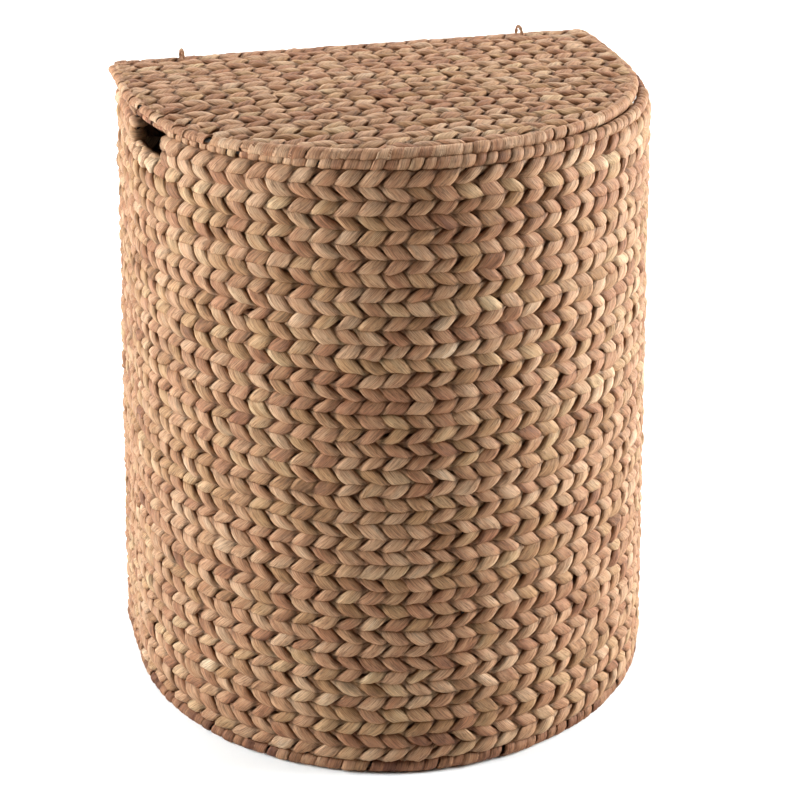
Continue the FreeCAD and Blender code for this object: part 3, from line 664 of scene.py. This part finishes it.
# ---------------------------------------------------------------- lid
lid_twist = Twist(outward=3.1 * MM, rise=4.4 * MM, width=12.3 * MM, thickness=7.2 * MM)
LID_LEFT_DROP, LID_FRONT_DROP, LID_RIGHT_DROP = 8.0 * MM, 5.5 * MM, 5.0 * MM
LID_DROP_RUN = 110 * MM       # from where the lid starts to sag to where it rests on the rim
LID_DROP_START, LID_DROP_SLANT = 15 * MM, 55 * MM    # it starts behind the middle, at a slant
LID_SPREAD = 4 * MM           # how far the woven edge bulges over the steel one
LID_WEAVE_INSET = 5 * MM      # from the woven edge to the ends of the rows
LID_BACK_REACH = 2 * MM       # how far the first row passes the rear rod
LID_TURN = 3 * MM             # how far a row loops past its last stake
panel_low, panel_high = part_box("lid_panel")
panel_half = (panel_high.x - panel_low.x) / 2
lid_spacing = [panel_half * (2 * i / LID_STAKES - 1) for i in range(1, LID_STAKES)]


def lid_level(x, y):
    """The lid sags onto the rim away from its hinge line, the most at the left."""
    side = (x - lid_edge["shift"]) / lid_edge["half"]
    start = lid_edge["center"] + LID_DROP_START + side * LID_DROP_SLANT
    forward = np.clip((start - y) / LID_DROP_RUN, 0, 1)
    forward = forward * forward * (3 - 2 * forward)
    from_middle = side ** 2 + ((lid_edge["center"] - y).clip(0) / lid_edge["half"]) ** 2
    edge_drop = np.where(side < 0, LID_LEFT_DROP, LID_RIGHT_DROP)
    drop = LID_FRONT_DROP + (edge_drop - LID_FRONT_DROP) * abs(side)
    return lid_edge["height"] - forward * from_middle.clip(0, 1) * drop


stems = Stems()
flat_rows(stems, lid_edge["shift"], lid_edge["half"] + LID_SPREAD - LID_WEAVE_INSET,
          lid_edge["center"] - LID_SPREAD / 2, lid_edge["back"] + LID_BACK_REACH, lid_spacing,
          lid_level, lid_twist, LID_TURN)
stems.piece("lid_weave", weave_material, "lid", "hyacinth_weave", "lid_panel")


def lid_path(start, end):
    """The lid's hoop between two stations, as points, outward and up directions."""
    def path(share):
        station = start + (end - start) * share
        point, ahead = outline(station, (lid_edge["half"] + LID_SPREAD,
                                         lid_edge["center"] - LID_SPREAD / 2, lid_edge["back"]))
        x, zero = point[:, 0] + lid_edge["shift"], 0 * station
        return (np.column_stack([x, point[:, 1], lid_level(x, point[:, 1])]),
                np.column_stack([ahead[:, 1], -ahead[:, 0], zero]),
                np.column_stack([zero, zero, zero + 1]))
    return path


LID_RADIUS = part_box("lid_edge_binding")[1].z - lid_edge["height"]
SLIM_END = 15                 # station where the slimmer wrap of the lid's left side ends
LID_WRAPS = (                 # stations, loops, radius, width and thickness of the edge's wraps
    (0, SLIM_END, 26, LID_RADIUS - 1.6 * MM, 13.5 * MM, 3.2 * MM),
    (SLIM_END, FRONT_STATIONS, 56, LID_RADIUS, 14.5 * MM, 4.6 * MM))
stems = Stems()
for start, end, loops, radius, width, thickness in LID_WRAPS:
    wrapped_hoop(stems, lid_path(start, end), loops, radius, width, thickness, MEAN_TONE,
                 unevenness=0.6, closed=False)
stems.piece("lid_edge_strands", weave_material, "lid", "hyacinth_weave", "lid_edge_binding")


def rod(stems, line, facing, size, closed):
    """A plain round rod along a line, with one tone all along."""
    stems.add(line, facing, size, size, MEAN_TONE, 0.5, 1.0, closed, ridge=0.0)


# The lid's steel hoop and its cane stakes, redrawn so that they follow its sag
HOOP_POINTS, CANE_POINTS = 280, 24
HOOP_COVER = 3.5 * MM         # thickness of the wrap over the steel
stems = Stems()
hoop_line, _, hoop_up = lid_path(0, STATIONS)(np.arange(HOOP_POINTS) / HOOP_POINTS)
rod(stems, hoop_line, hoop_up, 2 * (LID_RADIUS - HOOP_COVER), closed=True)
stems.piece("lid_hoop_wire", steel_material, "lid", "frame_steel", "lid_hoop")

stems = Stems(THIN_AROUND)
cane_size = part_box("lid_stakes")[1].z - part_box("lid_stakes")[0].z
for place in lid_spacing:
    front = lid_edge["center"] - math.sqrt(lid_edge["half"] ** 2 - place * place)
    y = np.linspace(lid_edge["back"], front, CANE_POINTS)
    x = np.full(CANE_POINTS, place + lid_edge["shift"])
    line = np.column_stack([x, y, lid_level(x, y)])
    rod(stems, line, np.tile(UP, (CANE_POINTS, 1)), cane_size, closed=False)
stems.piece("lid_stake_canes", cane_material, "lid", "stake_cane", "lid_stakes")

BACK_LOOPS, BACK_WIDTH, BACK_THICKNESS, BACK_TONE = 40, 12 * MM, 3 * MM, 0.45
stems = Stems()
wrapped_hoop(stems, lid_path(FRONT_STATIONS, STATIONS), BACK_LOOPS, LID_RADIUS, BACK_WIDTH,
             BACK_THICKNESS, BACK_TONE, closed=False)
stems.piece("lid_back_strands", edge_material, "lid", "hyacinth_weave", "lid_back_binding")

# ---------------------------------------------------------------- hinge rings
RING_TWISTS = 8               # turns of the two plies round each other in a whole ring
RING_POINTS = 160
PLY_OFFSET, PLY_WIDTH, PLY_THICKNESS, PLY_RIDGE = 0.85 * MM, 2.0 * MM, 1.9 * MM, 0.03
ring_share = np.arange(RING_POINTS) / RING_POINTS


def ring_path(low, high):
    """Middle line and outward directions of a standing oval ring that fills a box."""
    x, middle_y = (low.x + high.x) / 2, (low.y + high.y) / 2
    wire = (high.x - low.x) / 2
    bend = (high.y - low.y) / 2 - wire
    straight = high.z - low.z - 2 * wire - 2 * bend
    arc = math.pi * bend
    top_z, low_z = high.z - wire - bend, low.z + wire + bend
    walked = ring_share * (2 * straight + 2 * arc)
    angle_up = np.clip((walked - straight) / bend, 0, math.pi)
    angle_down = np.clip((walked - 2 * straight - arc) / bend, 0, math.pi)
    angle = angle_up + angle_down
    going_up = low_z + np.minimum(walked, straight) + bend * np.sin(angle_up)
    going_down = top_z - np.clip(walked - straight - arc, 0, straight) - bend * np.sin(angle_down)
    y = middle_y + bend * np.cos(angle)
    z = np.where(walked < straight + arc, going_up, going_down)
    zero = 0 * y
    return (np.column_stack([zero + x, y, z]),
            np.column_stack([zero, np.cos(angle), np.sin(angle)]))


for side in ("left", "right"):
    node = f"hinge_ring_{side}"
    line, out = ring_path(*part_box(node))
    across = np.tile([1.0, 0.0, 0.0], (RING_POINTS, 1))
    stems = Stems(THIN_AROUND)
    for ply in (0, 1):
        turn = 2 * np.pi * RING_TWISTS * ring_share + np.pi * ply
        radial = out * np.cos(turn)[:, None] + across * np.sin(turn)[:, None]
        stems.add(line + radial * PLY_OFFSET, radial, PLY_WIDTH, PLY_THICKNESS, MEAN_TONE, 0.5,
                  1.0, True, PLY_RIDGE)
    stems.piece(f"{node}_cord", cord_material, "lid", "ring_cord", node)

# ---------------------------------------------------------------- finishes of the frame
CANE_NODES = {"warp_stakes", "base_stakes"}
for name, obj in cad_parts.items():
    if obj.hide_render:
        continue
    obj.data.materials.clear()
    obj.data.materials.append(cane_material if name in CANE_NODES else steel_material)

# ---------------------------------------------------------------- floor and sky
FLOOR = 30.0                     # half its width
GLOW_FROM, GLOW_TO = 2.5, 4.5    # the floor turns into a lit backdrop between these distances
GLOW_STRENGTH = 0.75
FLOOR_COLOR, FLOOR_ROUGHNESS = (0.93, 0.93, 0.92, 1), 0.9
SKY_COLOR = (1, 0.88, 0.76, 1)
SKY_LOW, SKY_HIGH = 0.02, 0.22   # the sky dims between these sines of the angle above the horizon
HORIZON_STRENGTH, SKY_STRENGTH = 0.6, 0.06

floor_mesh = bpy.data.meshes.new("floor")
floor_mesh.from_pydata([(-FLOOR, -FLOOR, 0), (FLOOR, -FLOOR, 0), (FLOOR, FLOOR, 0),
                        (-FLOOR, FLOOR, 0)], [], [(0, 1, 2, 3)])
floor = bpy.data.objects.new("floor", floor_mesh)
paint = Nodes("floor_paint")
place = paint.put("ShaderNodeTexCoord").outputs["Object"]
distance = paint.put("ShaderNodeVectorMath", {0: place}, operation="LENGTH").outputs["Value"]
paint.tree.links.new(paint.remap(distance, GLOW_FROM, GLOW_TO, 0.0, GLOW_STRENGTH),
                     paint.shader.inputs["Emission Strength"])
paint.shader.inputs["Emission Color"].default_value = (1, 1, 1, 1)
paint.shader.inputs["Base Color"].default_value = FLOOR_COLOR
paint.shader.inputs["Roughness"].default_value = FLOOR_ROUGHNESS
floor_mesh.materials.append(paint.material)
bpy.context.scene.collection.objects.link(floor)

world = bpy.data.worlds.new("studio")
world.use_nodes = True
sky = world.node_tree
direction = sky.nodes.new("ShaderNodeSeparateXYZ")
dimming = sky.nodes.new("ShaderNodeMapRange")
for socket, value in (("From Min", SKY_LOW), ("From Max", SKY_HIGH),
                      ("To Min", HORIZON_STRENGTH), ("To Max", SKY_STRENGTH)):
    dimming.inputs[socket].default_value = value
sky.links.new(sky.nodes.new("ShaderNodeTexCoord").outputs["Generated"], direction.inputs[0])
sky.links.new(direction.outputs["Z"], dimming.inputs["Value"])
sky.links.new(dimming.outputs[0], sky.nodes["Background"].inputs["Strength"])
sky.nodes["Background"].inputs["Color"].default_value = SKY_COLOR
bpy.context.scene.world = world


# ---------------------------------------------------------------- lights and camera
def area_light(name, position, size, power, color=(1, 1, 1), aim=(0, 0, 0.3)):
    """A round soft light of a size in metres and a power in watts, turned to a point."""
    data = bpy.data.lights.new(name, "AREA")
    data.color = color
    data.shape, data.size, data.energy = "DISK", size, power
    light = bpy.data.objects.new(name, data)
    light.location = position
    light.rotation_euler = (Vector(aim) - Vector(position)).to_track_quat("-Z", "Y").to_euler()
    bpy.context.scene.collection.objects.link(light)


COOL = (0.92, 0.97, 1.0)
area_light("left_softbox", (-2.4, 0.40, 1.25), 1.5, 114, COOL)
area_light("right_softbox", (2.5, -0.50, 1.2), 1.5, 148, COOL)
area_light("top_softbox", (0.0, 0.9, 2.6), 1.6, 25)
area_light("background_softbox", (1.2, 4.6, 3.4), 4.0, 260, aim=(1.2, 4.6, 0))

# The photo's camera: lens and sensor in millimetres, shift in picture widths, degrees
LENS, SENSOR_WIDTH = 83.1, 36
SHIFT_X, SHIFT_Y = 0.0067, -0.1225
CAMERA_PLACE, CAMERA_TURN = (-0.4640, -1.5607, 1.0638), (67.89, 0, -16.05)
camera_data = bpy.data.cameras.new("camera")
camera_data.lens, camera_data.sensor_width = LENS, SENSOR_WIDTH
camera_data.shift_x, camera_data.shift_y = SHIFT_X, SHIFT_Y
camera = bpy.data.objects.new("camera", camera_data)
camera.location = CAMERA_PLACE
camera.rotation_euler = [math.radians(angle) for angle in CAMERA_TURN]
bpy.context.scene.collection.objects.link(camera)
bpy.context.scene.camera = camera
bpy.context.scene.view_settings.view_transform = "Standard"
bpy.context.scene.view_settings.look = "Medium High Contrast"
